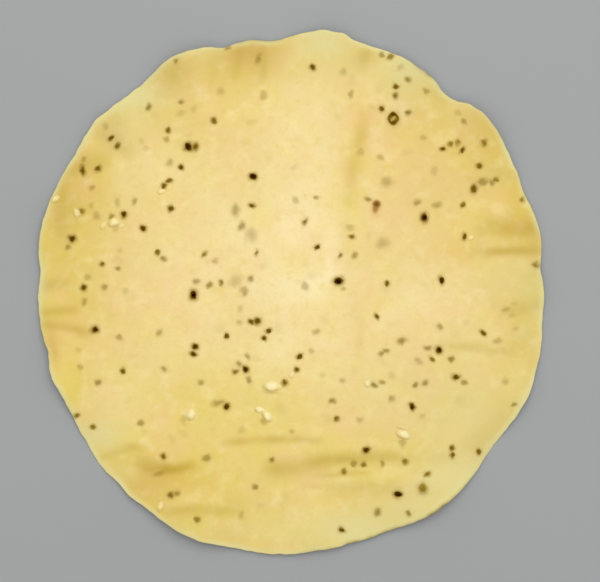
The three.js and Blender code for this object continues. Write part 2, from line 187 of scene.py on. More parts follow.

# Broad olive smears, a few of them painted shade beside pale seeds: place, length, width, turn in degrees,
# and darkness
# Painted shade beside pale seeds: (38.6, -51.6), (-9.5, -44.4), (-6.8, -34.4), (-36.9, -43.6) and (38.6,
# -47.3)
SMEARS_AND_SEED_SHADE = [
    (38.3, -16.7, 3.8, 2.4, 15, 0.64), (47.3, -19, 3.4, 1.9, 10, 0.64), (-25, -38, 4.8, 2.2, 12, 0.55),
    (-29, -57, 3.4, 2.6, 20, 0.6), (30, -76, 3.4, 2.6, 60, 0.7), (-39.3, -69.2, 2.8, 2.4, 20, 0.62),
    (66.4, 38.4, 4.2, 2.6, 10, 0.62), (69.4, 38.2, 2.6, 2.4, 0, 0.6), (-41.7, 44.8, 3.2, 2.6, 40, 0.42),
    (-16.7, 23, 3.4, 2.4, 80, 0.62), (-19, 28.5, 4.6, 3, 85, 0.5), (-13.5, 20, 5.2, 4.2, 100, 0.33),
    (33, 38.3, 4.2, 3.8, 0, 0.42), (50.3, 30.2, 3.8, 2.4, 15, 0.44), (-19, 4, 5.2, 4, 40, 0.3),
    (31.7, 17, 4.8, 4.2, 0, 0.34), (-9.5, 68, 3.8, 2.8, 80, 0.36), (-24.3, 69.6, 3.2, 3, 0, 0.3),
    (74.3, -5.8, 3, 1.6, 12, 0.34), (76.6, -7.8, 2.8, 1.6, 10, 0.22), (77.8, -12.4, 2.6, 1.8, 0, 0.24),
    (77, -3.7, 2.4, 1.4, 0, 0.16), (38.6, -51.6, 3.8, 2.6, 80, 0.36), (-16.5, 1, 3, 2.6, 0, 0.42),
    (-11.2, 80.8, 3.8, 2, 70, 0.5), (-21.6, 84.4, 2.6, 1.4, 15, 0.55), (-39.6, 80, 2.2, 1.5, 40, 0.5),
    (-9.5, -44.4, 2.8, 1.9, -35, 0.42), (-6.8, -34.4, 4.6, 1.3, -3, 0.3), (-36.9, -43.6, 3, 2, 60, 0.26),
    (-45.7, -62.5, 4.4, 1.7, 12, 0.42), (31.5, -30.9, 2.2, 1.9, 0, 0.58), (18.1, 1.3, 2.2, 1.8, 0, 0.42),
    (20.6, 22.6, 3, 2.4, 0, 0.3), (17.9, -30.3, 2.2, 1.8, 0, 0.34), (-17.8, -10.3, 2.2, 2, 0, 0.34),
    (38.6, -47.3, 3.4, 1.1, -25, 0.32),
]

# Pale seeds: place, turn in degrees, length, width, and how clearly each shows
PALE_SEEDS = [
    ((-6.5, -32.4), -3, 4.9, 2.7, 1), ((-8.2, -42.5), 126, 3.6, 2.4, 1), ((-10.7, -40.5), -5, 2.9, 1.6, 0.9),
    ((-34.3, -42.2), 60, 3.2, 2.4, 0.7), ((38.9, -49), -28, 4, 2.6, 0.95), ((-61, 24.2), 10, 3.4, 2.6, 0.75),
    ((-64.9, 23), 60, 2.2, 1.7, 0.35), ((-58.6, 23), 20, 2, 1.4, 0.3), ((-73.9, 27.6), 110, 2.8, 2.2, 0.55),
    ((-81.4, 32.4), 20, 2.6, 2.1, 0.7), ((62.3, 18.9), 30, 1.8, 1.4, 0.5), ((-45, -74), 70, 3.2, 1.7, 0.6),
    ((26.6, -31.5), 0, 2.3, 1.9, 0.6), ((-44.6, 35), 20, 2.4, 1.5, 0.6), ((0.4, -28.3), 60, 2, 1.5, 0.5),
]

# Chilli flakes: place, turn in degrees, length, width, and strength of the colour
CHILLI_FLAKES = [((29.6, 30.5), 10, 3.2, 3.1, 1), ((29.3, 29.3), 80, 4.6, 2.7, 0.72)]

# An empty husk lying on its side, lobed: place, length, width and turn in degrees
HUSK_RING = ((35.4, 60.1), 4.6, 4.4, 90)

# The slit in the husk: half-length and half-width in shares of its radius, and turn on it in degrees
HUSK_SLIT = (0.46, 0.17, -45)

# The smaller spice's dark spots: least and most reach, and darkness of a list's first and last
DARK_SPOTS = (1.05, 1.35, 0.86, 0.66)
BURIED_SPOTS = (1, 1.25, 0.75, 0.46)
FAINT_SPOTS = (1, 1.5, 0.42, 0.14)
SPOT_STRETCH = (1, 1.25)

# The dark spot of a large grain or the husk in shares of its listed size, and how dark the husk's is
LARGE_SPREAD = 1.12
HUSK_DARKNESS = 0.5

# How far each kind stands up, and how much of its listed size a grain of pepper fills
LARGE_STAND = 0.4
DARK_STAND = 0.3
PALE_STAND = 0.5
CHILLI_STAND = 0.3
HUSK_STAND = 0.4
GRAIN_SHARE = 0.72

# The low mound of dough over or round each grain
MOUND_RINGS = 7
MOUND_REACH = 1.9
MOUND_RISE = 0.09
MOUND_DIP = 0.04
MOUND_STEEPNESS = 1.5
MOUND_EGG = 0.2

# Scattered by seeded draws: faint smudges under the surface, and pepper that shows underneath
FAINT_SMUDGE_COUNT = 60
UNDER_PEPPER_COUNT = 70
UNDER_PEPPER_SIZE = (2.1, 1.8, 0.25)
UNDER_PEPPER_SPREAD = 0.15
SCATTER_REACH = 0.95
PEPPER_SEED = 2026
SMUDGE_SEED = 2027

# Colours of the dough by place: middle, half-lengths along X and Y, strength
CREAM_PATCHES = [
    ((9, 18), (13, 46), 0.38),
    ((0, 2), (62, 62), 0.56),
    ((-28, 10), (26, 34), 0.33),
    ((2, 64), (18, 20), 0.32),
    ((-60, -40), (14, 14), 0.45),
    ((-42, -20), (20, 16), 0.15),
    ((26, -20), (14, 16), 0.17),
    ((46, -4), (20, 12), 0.3),
    ((64, -6), (16, 36), 0.12),
    ((-6, -22), (10, 8), 0.22),
    ((-6, 22), (12, 8), 0.12),
    ((0, -82), (40, 9), 0.25),
    ((-46, 44), (13, 9), 0.26),
    ((-59, 40), (12, 12), 0.2),
    ((64, -44), (10, 10), 0.2),
    ((8, -64), (30, 8), 0.18),
    ((5, 6), (12, 18), 0.2),
    ((31, -36), (8, 6), 0.14),
    ((66, -17), (8, 6), 0.14),
    ((37, 63.5), (4.5, 4), 0.35),
]
GOLDEN_PATCHES = [
    ((-84, 8), (9, 40), 0.3),
    ((-44, -70), (16, 9), 0.45),
    ((-14, 82), (14, 7), 0.3),
    ((80, 24), (10, 6), 0.05),
    ((45, 68), (12, 10), 0.15),
    ((44, -62), (10, 8), 0.27),
    ((62, 62), (12, 10), 0.5),
    ((-79, 42), (8, 12), 0.5),
    ((83, -18), (7, 12), 0.25),
    ((-68, 39), (6, 8), 0.25),
    ((-46, -62), (12, 6), 0.4),
    ((-18, -8), (8, 9), 0.14),
    ((27, 13), (8, 7), 0.12),
    ((57, 15), (6, 6), 0.25),
    ((-38, -34), (8, 8), 0.12),
]
ROSE_PATCHES = [
    ((40, 44), (22, 28), 0.4),
    ((-50, -5), (18, 20), 0.25),
    ((-18, -4), (14, 20), 0.22),
    ((-32, 70), (10, 8), 0.3),
    ((3, 38), (9, 9), 0.15),
    ((24, 18), (10, 9), 0.15),
    ((42, -16), (12, 7), 0.35),
    ((25, 61), (5, 6), 0.35),
    ((35.4, 62), (5, 4.5), 0.35),
    ((27.4, 28), (1.8, 2), 0.4),
    ((31.4, 26.6), (1.5, 1.3), 0.45),
]
STRAW_PATCHES = [
    ((-24, -38), (34, 20), 0.42),
    ((-84, -5), (12, 45), 0.5),
    ((-80, -34), (10, 16), 0.6),
    ((0, -82), (45, 8), 0.35),
    ((-52, -52), (20, 14), 0.3),
    ((4, -58), (34, 12), 0.35),
    ((-36, -77), (14, 8), 0.6),
    ((46, -62), (16, 12), 0.3),
    ((24, 45), (4, 12), 0.6),
    ((21, 26), (3.5, 12), 0.4),
    ((-40, 76), (9, 8), 0.3),
]
TAN_PATCHES = [
    ((-15, 83), (13, 6.5), 0.95),
    ((-38, 77), (12, 7), 0.1),
    ((78, 21.5), (7, 3.6), 0.4),
    ((-51, -67), (10, 6), 0.55),
    ((-44, -62), (9, 5), 0.36),
    ((-78, 44), (8, 8), 0.24),
    ((-80, 26), (4, 6), 0.4),
    ((-24, -84), (10, 5), 0.25),
    ((82, -4), (4, 7), 0.12),
    ((-82.5, -20), (3.2, 6), 0.8),
    ((-69, -6), (8, 6), 0.14),
    ((25.5, 81), (4, 4), 0.8),
]
PALE_PATCHES = [
    ((12, 86.5), (9.5, 5), 0.85),
    ((60, -65), (18, 9), 0.72),
    ((-55, 68), (13, 5), 0.7),
    ((-44, 77), (8, 6), 0.15),
    ((-66, -49.5), (8, 6), 0.75),
    ((-61, -63), (7, 5), 0.35),
    ((-36, -83), (12, 4), 0.15),
    ((58, -42), (26, 22), 0.4),
    ((42, -76), (14, 8), 0.55),
    ((22, -82), (14, 7), 0.7),
    ((0, -83), (34, 7), 0.25),
    ((42, 79), (10, 8), 0.75),
    ((25, 76), (9, 7), 0.2),
    ((38, 69), (8, 9), 0.35),
    ((84, -4), (6, 8), 0.3),
    ((81, -14), (5, 5), 0.3),
    ((71, 41), (5, 5), 0.25),
    ((-29, 82), (6, 5), 0.3),
    ((-86, 1), (3, 5), 0.4),
    ((58, 66), (10, 8), 0.3),
    ((-58, 60), (12, 9), 0.45),
    ((5, 80), (30, 8), 0.2),
    ((80, -35), (6, 14), 0.3),
    ((80, 6), (12, 8), 0.4),
]
# Patches darkened towards olive, mostly near the rim, by the same darkening as the spice
OLIVE_PATCHES = [
    ((-79, 35), (10, 14), 0.12),
    ((-84, 2), (9, 26), 0.05),
    ((-76, -42), (8, 10), 0.05),
    ((-40, 75), (9, 8), 0.13),
    ((45, 78), (12, 9), 0.05),
    ((65, 60), (11, 10), 0.1),
    ((84, 17), (8, 12), 0.05),
    ((84, -22), (8, 10), 0.05),
    ((-40, -80), (12, 6), 0.09),
    ((45, 60), (12, 10), 0.04),
    ((44, 38), (10, 10), 0.03),
    ((86, 14), (5, 16), 0.09),
    ((-86, -15), (4, 7), 0.1),
    ((67, -56), (6, 6), 0.1),
    ((-61, 52), (6, 6), 0.09),
    ((-15, 84), (9, 5), 0.08),
    ((-60.5, 59.5), (4.5, 4.5), 0.1),
    ((-76.5, 30.5), (4, 5), 0.06),
]

# How golden the dough is apart from the patches, and the pale line along its rim
GOLD_LEVEL = 1
GOLD_LIMIT = 1.2
RIM_GOLD = 0.15
RIM_GOLD_POWER = 8
PALE_RIM_WIDTH = 1.3
PALE_RIM_STRENGTH = 0.85

# Stretches where the very edge is olive brown, painted shade of the rim: bearing and half-width in degrees,
# darkness
SHADED_EDGES = [(281, 7, 0.4), (300, 12, 0.5), (97, 6, 0.25), (57, 4, 0.35)]
SHADED_EDGE_WIDTH = 0.6
SHADED_EDGE_UNEVENNESS = (2.5, 0.8, 23)


def srgb(red, green, blue):
    """A colour given as a screen shows it, in the shader's linear values."""
    shares = np.array([red, green, blue]) / 255
    linear = np.where(shares <= 0.04045, shares / 12.92, ((shares + 0.055) / 1.055) ** 2.4)
    return (*linear.tolist(), 1.0)


CREAM = srgb(249, 231, 175)
GOLD = srgb(222, 193, 99)
TAN = srgb(212, 174, 90)
PALE = srgb(225, 214, 148)
# The darker gold of the pleats: partly the dough's colour, partly painted shade in the folds
CREASE = srgb(196, 164, 56)
ROSE = srgb(242, 205, 145)
STRAW = srgb(234, 212, 106)
SPICE_OLIVE = srgb(146, 118, 34)
SPICE_BROWN = srgb(92, 60, 0)
SPICE_BLACK = srgb(30, 4, 0)
SEED_PALE = srgb(255, 241, 186)
# Painted shade, partly browner dough, round the foot of a pale seed
SEED_SHADE = srgb(186, 160, 88)
CHILLI_DARK = srgb(116, 72, 0)
CHILLI_RED = srgb(208, 164, 92)
FLOOR_GREY = srgb(164, 166, 166)
FLOOR_SHADE = srgb(158, 160, 160)

# Blotches of the dough: colour, size, detail and roughness of their noise, its range, and strength
BLOTCHES = [
    (ROSE, (17, 2, 0.55), (0.42, 0.74), 0.6),
    (STRAW, (10, 2, 0.55), (0.46, 0.78), 0.45),
    (CREAM, (5, 2, 0.55), (0.5, 0.8), 0.45),
    (GOLD, (3.2, 3, 0.55), (0.5, 0.8), 0.4),
]
SPECKLES = (GOLD, (1.1, 5, 0.65), (0.5, 0.8), 0.3)

# Colours that spice goes through as it darkens, and the range of darkness in which each grows
SPICE_STEPS = [(SPICE_OLIVE, (0, 0.75)), (SPICE_BROWN, (0.64, 0.88)), (SPICE_BLACK, (0.87, 1))]

# Ranges of shares, and of most values of a noise
WHOLE = (0, 1)
NOISE_MIDDLE = (0.3, 0.7)


# Shape of the sheet

def bells(rows, degrees):
    """Sum of the bell-shaped rises of a list at each bearing."""
    total = np.zeros_like(degrees)
    for bearing, half, rise in rows:
        apart = (degrees - bearing + 180) % 360 - 180
        total += rise * np.exp(-((apart / half) ** 2))
    return total


def patches(rows, x, y):
    """Sum of soft round patches at each point."""
    total = np.zeros_like(x)
    for (middle_x, middle_y), (reach_x, reach_y), strength in rows:
        total += strength * np.exp(-(((x - middle_x) / reach_x) ** 2) - ((y - middle_y) / reach_y) ** 2)
    return total


def smooth_noise(x, y, layer):
    """Smooth seeded unevenness, with the layer's cell, height and seed."""
    CELLS = 64
    cell, height, seed = layer
    grid = np.random.default_rng(seed).uniform(-1, 1, (CELLS, CELLS))
    column = np.floor(x / cell).astype(int)
    row = np.floor(y / cell).astype(int)
    across = x / cell - column
    along = y / cell - row
    across = across * across * (3 - 2 * across)
    along = along * along * (3 - 2 * along)
    left, right = column % CELLS, (column + 1) % CELLS
    near, far = row % CELLS, (row + 1) % CELLS
    low = grid[left, near] * (1 - across) + grid[right, near] * across
    high = grid[left, far] * (1 - across) + grid[right, far] * across
    return height * (low * (1 - along) + high * along)


def bearing_of(x, y):
    return np.degrees(np.arctan2(y, x))


def edge_radius(degrees):
    radius = MEAN_RADIUS + bells(EDGE_LOBES, degrees)
    angle = np.radians(degrees)
    for layer in EDGE_NIBBLES:
        radius = radius + smooth_noise(MEAN_RADIUS * np.cos(angle), MEAN_RADIUS * np.sin(angle), layer)
    return radius


def share_out(x, y):
    """Share of the way from the middle of the disc to its edge."""
    return np.hypot(x, y) / edge_radius(bearing_of(x, y))


def pleat_place(x, y, start, end, bow, width):
    """How strongly a pleat acts at each point, and how many widths the point lies to its left."""
    FADE_POWER = 4
    (from_x, from_y), (to_x, to_y) = start, end
    run_x = to_x - from_x
    run_y = to_y - from_y
    length = math.hypot(run_x, run_y)
    along = ((x - from_x) * run_x + (y - from_y) * run_y) / length**2
    fade = np.where((along > 0) & (along < 1), 1 - (2 * along - 1) ** FADE_POWER, 0)
    beside = (run_x * (y - from_y) - run_y * (x - from_x)) / length + smooth_noise(x, y, PLEAT_WANDER)
    return fade, (beside - bow * 4 * along * (1 - along)) / width


def pleat_heights(x, y):
    total = np.zeros_like(x)
    for *line, lift, _ in PLEATS:
        fade, widths = pleat_place(x, y, *line)
        total += lift * fade * widths * np.exp((1 - widths**2) / 2)
    return total


def crease_colour_and_shade(x, y):
    """How golden the dough is along the pleats: partly its own colour, partly painted shade in the folds."""
    total = np.zeros_like(x)
    for *line, _, tint in PLEATS:
        fade, widths = pleat_place(x, y, *line)
        total += tint * fade * np.exp(-((widths / TINT_SHARE) ** 2))
    return np.clip(total * (1 + smooth_noise(x, y, TINT_UNEVENNESS)), 0, 1)


def sheet_height(x, y):
    """Height of the middle of the sheet's thickness."""
    out = share_out(x, y)
    height = DOME_RISE * (1 - out**2) + bells(RIM_WAVES, bearing_of(x, y)) * out**RIM_WAVE_POWER
    height += patches(SWELLS, x, y) + pleat_heights(x, y)
    for layer in FINE_RELIEF:
        height += smooth_noise(x, y, layer)
    return height + smooth_noise(x, y, RIM_FLUTTER) * out**RIM_FLUTTER_POWER


def sheet_thickness(x, y):
    taper = np.minimum(share_out(x, y), 1) ** RIM_TAPER_POWER
    return SHEET_THICKNESS + (RIM_THICKNESS - SHEET_THICKNESS) * taper


def sheet_normals(x, y):
    """Directions straight out of the upper face."""
    STEP = 0.4
    slope_x = (sheet_height(x + STEP, y) - sheet_height(x - STEP, y)) / (2 * STEP)
    slope_y = (sheet_height(x, y + STEP) - sheet_height(x, y - STEP)) / (2 * STEP)
    normals = np.stack([-slope_x, -slope_y, np.ones_like(x)], axis=-1)
    return normals / np.linalg.norm(normals, axis=-1, keepdims=True)


def rings_of_points(rings):
    """Bearings and shares of the way out of points in rings, round one point in the middle."""
    degrees = [np.zeros(1)]
    shares = [np.zeros(1)]
    for ring in range(1, rings + 1):
        count = RING_STEP * ring
        degrees.append(np.arange(count) * 360 / count)
        shares.append(np.full(count, ring / rings))
    return np.concatenate(degrees), np.concatenate(shares)


def first_in_ring(ring):
    """Number of a ring's first point, where the point in the middle is ring 0."""
    return 1 + RING_STEP * ring * (ring - 1) // 2 if ring > 0 else 0


def ring_triangles(rings):
    """Triangles between neighbouring rings, counter-clockwise seen from above."""
    triangles = []
    for ring in range(1, rings + 1):
        outer_count = RING_STEP * ring
        inner_count = max(RING_STEP * (ring - 1), 1)
        outer_first = first_in_ring(ring)
        inner_first = first_in_ring(ring - 1)
        sector, step = np.divmod(np.arange(outer_count), ring)
        outer = outer_first + sector * ring + step
        outer_next = outer_first + (sector * ring + step + 1) % outer_count
        inner = inner_first + (sector * (ring - 1) + step) % inner_count
        inner_next = inner_first + (sector * (ring - 1) + step + 1) % inner_count
        triangles.append(np.stack([outer, outer_next, inner], axis=1))
        between = step < ring - 1
        triangles.append(np.stack([inner, outer_next, inner_next], axis=1)[between])
    return np.concatenate(triangles)


def sheet_arrays():
    """Points and faces of the sheet: upper face, under face, and a rounded wall round the rim."""
    degrees, shares = rings_of_points(RINGS)
    radius = edge_radius(degrees) * shares
    x, y = radius * np.cos(np.radians(degrees)), radius * np.sin(np.radians(degrees))
    middle = sheet_height(x, y)
    half = sheet_thickness(x, y) / 2
    upper = np.stack([x, y, middle + half], axis=1)
    under = np.stack([x, y, middle - half], axis=1)
    rim = np.arange(first_in_ring(RINGS), len(x))
    rows = []
    for row in range(1, EDGE_ROWS + 1):
        lean = math.pi * row / (EDGE_ROWS + 1)
        stretch = 1 + math.sin(lean) * half[rim] / np.hypot(x[rim], y[rim])
        level = middle[rim] + math.cos(lean) * half[rim]
        rows.append(np.stack([x[rim] * stretch, y[rim] * stretch, level], axis=1))
    points = np.concatenate([upper, under, *rows])
    triangles = ring_triangles(RINGS)
    faces = triangles.tolist() + (triangles[:, ::-1] + len(x)).tolist()
    first = 2 * len(x)
    bands = [rim]
    for row in range(EDGE_ROWS):
        bands.append(first + row * len(rim) + np.arange(len(rim)))
    bands.append(rim + len(x))
    for above, below in zip(bands[:-1], bands[1:]):
        faces += np.stack([above, below, np.roll(below, -1), np.roll(above, -1)], axis=1).tolist()
    return points, faces


# Materials

class Shader:
    """A material's nodes, made a step at a time."""

    def __init__(self, name):
        self.material = bpy.data.materials.new(name)
        self.material.use_nodes = True
        self.nodes = self.material.node_tree.nodes
        self.links = self.material.node_tree.links
        self.surface = self.nodes["Principled BSDF"]
        self.place = self.nodes.new("ShaderNodeTexCoord").outputs["Object"]

    def attribute(self, name):
        node = self.nodes.new("ShaderNodeAttribute")
        node.attribute_name = name
        return node.outputs["Fac"]

    def noise(self, size, detail=3, roughness=0.55):
        """Noise with features about the given size across, in millimetres."""
        node = self.nodes.new("ShaderNodeTexNoise")
        node.inputs["Scale"].default_value = 1 / (size * MM)
        node.inputs["Detail"].default_value = detail
        node.inputs["Roughness"].default_value = roughness
        self.links.new(self.place, node.inputs["Vector"])
        return node.outputs["Fac"]

    def spread(self, value, from_range, to_range):
        """The value moved from one range to another, and held there."""
        node = self.nodes.new("ShaderNodeMapRange")
        node.inputs["From Min"].default_value = from_range[0]
        node.inputs["From Max"].default_value = from_range[1]
        node.inputs["To Min"].default_value = to_range[0]
        node.inputs["To Max"].default_value = to_range[1]
        self.links.new(value, node.inputs["Value"])
        return node.outputs["Result"]

    def times(self, first, second):
        node = self.nodes.new("ShaderNodeMath")
        node.operation = "MULTIPLY"
        self.links.new(first, node.inputs[0])
        self.links.new(second, node.inputs[1])
        return node.outputs["Value"]

    def mix(self, first, second, share):
        """Two colours mixed by a share, where each is a colour or a link."""
        node = self.nodes.new("ShaderNodeMix")
        node.data_type = "RGBA"
        sockets = [socket for socket in node.inputs if socket.type == "RGBA"]
        for socket, colour in zip(sockets, (first, second)):
            if isinstance(colour, tuple):
                socket.default_value = colour
            else:
                self.links.new(colour, socket)
        self.links.new(share, node.inputs["Factor"])
        return next(socket for socket in node.outputs if socket.type == "RGBA")

    def blotched(self, colour, blotch):
        """A colour with blotches of another on it, as a row of the list of blotches says."""
        tint, noise, noise_range, strength = blotch
        return self.mix(colour, tint, self.spread(self.noise(*noise), noise_range, (0, strength)))

    def bump(self, height, depth, below=None):
        """Fine relief of the given depth in millimetres, over another one if there is one."""
        node = self.nodes.new("ShaderNodeBump")
        node.inputs["Strength"].default_value = 1.0
        node.inputs["Distance"].default_value = depth * MM
        self.links.new(height, node.inputs["Height"])
        if below is not None:
            self.links.new(below, node.inputs["Normal"])
        return node.outputs["Normal"]

    def finish(self, colour, roughness, normal, specular):
        self.links.new(colour, self.surface.inputs["Base Color"])
        self.links.new(roughness, self.surface.inputs["Roughness"])
        self.links.new(normal, self.surface.inputs["Normal"])
        self.surface.inputs["Specular IOR Level"].default_value = specular
        return self.material


def darkened_colour(shader, colour, dark):
    """A colour darkened to olive, then to brown and then to black, as the share goes from 0 to 1: by spice,
    and in the dough also by painted shade.
    """
    for tint, growth in SPICE_STEPS:
        colour = shader.mix(colour, tint, shader.spread(dark, growth, WHOLE))
    return colour


def dough_colour(shader):
    """Dried dough: cream in the middle, golden at the rim and pleats, blotched, with dark spots of spice and
    of painted shade.
    """
    RAGGED_SIZE = 0.9
    RAGGED_SHARE = (0.85, 1.05)
    colour = shader.mix(CREAM, GOLD, shader.attribute("gold"))
    colour = shader.mix(colour, ROSE, shader.attribute("rose"))
    colour = shader.mix(colour, STRAW, shader.attribute("straw"))
    for blotch in BLOTCHES:
        colour = shader.blotched(colour, blotch)
    colour = shader.mix(colour, TAN, shader.attribute("tan"))
    colour = shader.mix(colour, CREASE, shader.attribute("crease"))
    colour = shader.mix(colour, PALE, shader.attribute("pale"))
    colour = shader.blotched(colour, SPECKLES)
    ragged = shader.spread(shader.noise(RAGGED_SIZE), NOISE_MIDDLE, RAGGED_SHARE)
    return darkened_colour(shader, colour, shader.times(shader.attribute("smudge"), ragged))


def finish_dough(shader, colour):
    """Gives a colour the dough's own dull sheen and fine relief."""
    SHEEN_SIZE = 3
    ROUGHNESS = (0.46, 0.62)
    COARSE_SIZE = 1.6
    COARSE_DEPTH = 0.045
    FINE_SIZE = 0.45
    FINE_DEPTH = 0.02
    SPECULAR = 0.1
    roughness = shader.spread(shader.noise(SHEEN_SIZE), NOISE_MIDDLE, ROUGHNESS)
    coarse = shader.bump(shader.noise(COARSE_SIZE, detail=4), COARSE_DEPTH)
    normal = shader.bump(shader.noise(FINE_SIZE, detail=3), FINE_DEPTH, below=coarse)
    return shader.finish(colour, roughness, normal, SPECULAR)


def dough_material(name):
    shader = Shader(name)
    return finish_dough(shader, dough_colour(shader))


def seed_material():
    """A pale seed under a skin of dough, with a ring round it that is partly browner dough and partly painted
    shade, by the tone and shade of each point.
    """
    WRINKLE_SIZE = 0.8
    WRINKLE_RANGE = (0.35, 0.65)
    WRINKLE_SHARE = (0.7, 1.1)
    shader = Shader("pale_seed")
    colour = shader.mix(dough_colour(shader), SEED_SHADE, shader.attribute("shade"))
    wrinkled = shader.spread(shader.noise(WRINKLE_SIZE), WRINKLE_RANGE, WRINKLE_SHARE)
    tone = shader.times(shader.attribute("tone"), wrinkled)
    return finish_dough(shader, shader.mix(colour, SEED_PALE, tone))


def chilli_material():
    """A chilli flake that stains the dough round it, by the tone of each point."""
    STAIN_GROWTH = (0, 0.6)
    FLAKE_GROWTH = (0.35, 1)
    shader = Shader("chilli")
    tone = shader.attribute("tone")
    stained = shader.mix(dough_colour(shader), CHILLI_RED, shader.spread(tone, STAIN_GROWTH, WHOLE))
    return finish_dough(shader, shader.mix(stained, CHILLI_DARK, shader.spread(tone, FLAKE_GROWTH, WHOLE)))


def pepper_material():
    """Cracked pepper, from the colour of the dough round it to black by the tone of each point."""
    GRAIN_SIZE = 0.5
    GRAIN_RANGE = (0.35, 0.75)
    GRAIN_TONES = (1.03, 0.96)
    GRAIN_DEPTH = 0.05
    ROUGHNESS = (0.6, 0.8)
    SPECULAR = 0
    shader = Shader("pepper")
    grain = shader.noise(GRAIN_SIZE, detail=4)
    tone = shader.times(shader.attribute("tone"), shader.spread(grain, GRAIN_RANGE, GRAIN_TONES))
    colour = darkened_colour(shader, GOLD, tone)
    roughness = shader.spread(grain, NOISE_MIDDLE, ROUGHNESS)
    return shader.finish(colour, roughness, shader.bump(grain, GRAIN_DEPTH), SPECULAR)


def floor_material():
    CLOUD_SIZE = 400
    GRAIN_SIZE = 2
    GRAIN_DEPTH = 0.01
    ROUGHNESS = (0.7, 0.8)
    SPECULAR = 0.2
    shader = Shader("floor")
    cloud = shader.noise(CLOUD_SIZE)
    colour = shader.mix(FLOOR_GREY, FLOOR_SHADE, cloud)
    roughness = shader.spread(cloud, NOISE_MIDDLE, ROUGHNESS)
    return shader.finish(colour, roughness, shader.bump(shader.noise(GRAIN_SIZE), GRAIN_DEPTH), SPECULAR)


# Meshes

def make_object(name, points, faces, material):
    mesh = bpy.data.meshes.new(name)
    mesh.from_pydata((np.asarray(points) * MM).tolist(), [], faces)
    mesh.materials.append(material)
    mesh.shade_smooth()
    made = bpy.data.objects.new(name, mesh)
    bpy.context.scene.collection.objects.link(made)
    return made


def set_attribute(piece, name, values):
    attribute = piece.data.attributes.new(name, "FLOAT", "POINT")
    attribute.data.foreach_set("value", np.asarray(values, np.float32))


def flat_places(piece):
    """Places of a piece's points seen from above, in millimetres."""
    points = np.empty(3 * len(piece.data.vertices))
    piece.data.vertices.foreach_get("co", points)
    return points[0::3] / MM, points[1::3] / MM


def put_on_papadum(piece):
    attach(piece, "root")
    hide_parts(CAD_NODE)


def scatter(count, random):
    """Places spread evenly over the disc by the seeded draw."""
    degrees = random.uniform(0, 360, count)
    radius = SCATTER_REACH * edge_radius(degrees) * np.sqrt(random.uniform(0, 1, count))
    angle = np.radians(degrees)
    return np.stack([radius * np.cos(angle), radius * np.sin(angle)], axis=1)


# The dough

def smudge_spots():
    """Dark spots of spice, and of painted shade beside pale seeds: middle, half-lengths, turn in degrees and
    darkness of each.
    """
    random = np.random.default_rng(SMUDGE_SEED)
    spots = []
    for x, y, length, width, turn, dark in LARGE_PEPPER:
        spots.append(((x, y), (LARGE_SPREAD * length / 2, LARGE_SPREAD * width / 2), turn, dark))

    def add_spots(places, least_reach, most_reach, darkest, palest):
        for at, dark in zip(places, np.linspace(darkest, palest, len(places))):
            reach = random.uniform(least_reach, most_reach)
            stretch = random.uniform(*SPOT_STRETCH)
            spots.append((at, (reach * stretch, reach / stretch), random.uniform(0, 180), dark))

    add_spots(DARK_PEPPER, *DARK_SPOTS)
    add_spots(BURIED_SPICE, *BURIED_SPOTS)
    add_spots(FAINT_SPICE_AND_SEED_SHADE, *FAINT_SPOTS)
    for x, y, length, width, turn, dark in SMEARS_AND_SEED_SHADE:
        spots.append(((x, y), (length / 2, width / 2), turn, dark))
    at, length, width, turn = HUSK_RING
    spots.append((at, (LARGE_SPREAD * length / 2, LARGE_SPREAD * width / 2), turn, HUSK_DARKNESS))
    return spots


def faint_smudges():
    """Broad faint smudges by the seeded draw: middle, half-lengths, turn in degrees and darkness of each."""
    REACH = (1, 2)
    STRETCH = (1, 1.4)
    DARKNESS = (0.04, 0.11)
    random = np.random.default_rng(SMUDGE_SEED)
    spots = []
    for at in scatter(FAINT_SMUDGE_COUNT, random):
        reach = random.uniform(*REACH)
        stretch = random.uniform(*STRETCH)
        dark = random.uniform(*DARKNESS)
        spots.append((at, (reach * stretch, reach / stretch), random.uniform(0, 180), dark))
    return spots


def spot_distance(x, y, at, reach, turn):
    """Square of how many half-lengths each point is from the middle of a spot."""
    cosine, sine = math.cos(math.radians(turn)), math.sin(math.radians(turn))
    along = ((x - at[0]) * cosine + (y - at[1]) * sine) / reach[0]
    across = ((y - at[1]) * cosine - (x - at[0]) * sine) / reach[1]
    return along**2 + across**2


def smudges(x, y):
    """The darkest of the spots at each point, with ragged edges."""
    EDGE_POWER = 1.6
    RAGGED_X = (1.2, 0.35, 18)
    RAGGED_Y = (1.2, 0.35, 19)
    x, y = x + smooth_noise(x, y, RAGGED_X), y + smooth_noise(x, y, RAGGED_Y)
    total = np.zeros_like(x)
    for at, reach, turn, dark in smudge_spots() + faint_smudges():
        total = np.maximum(total, dark * np.exp(-(spot_distance(x, y, at, reach, turn) ** EDGE_POWER)))
    return total


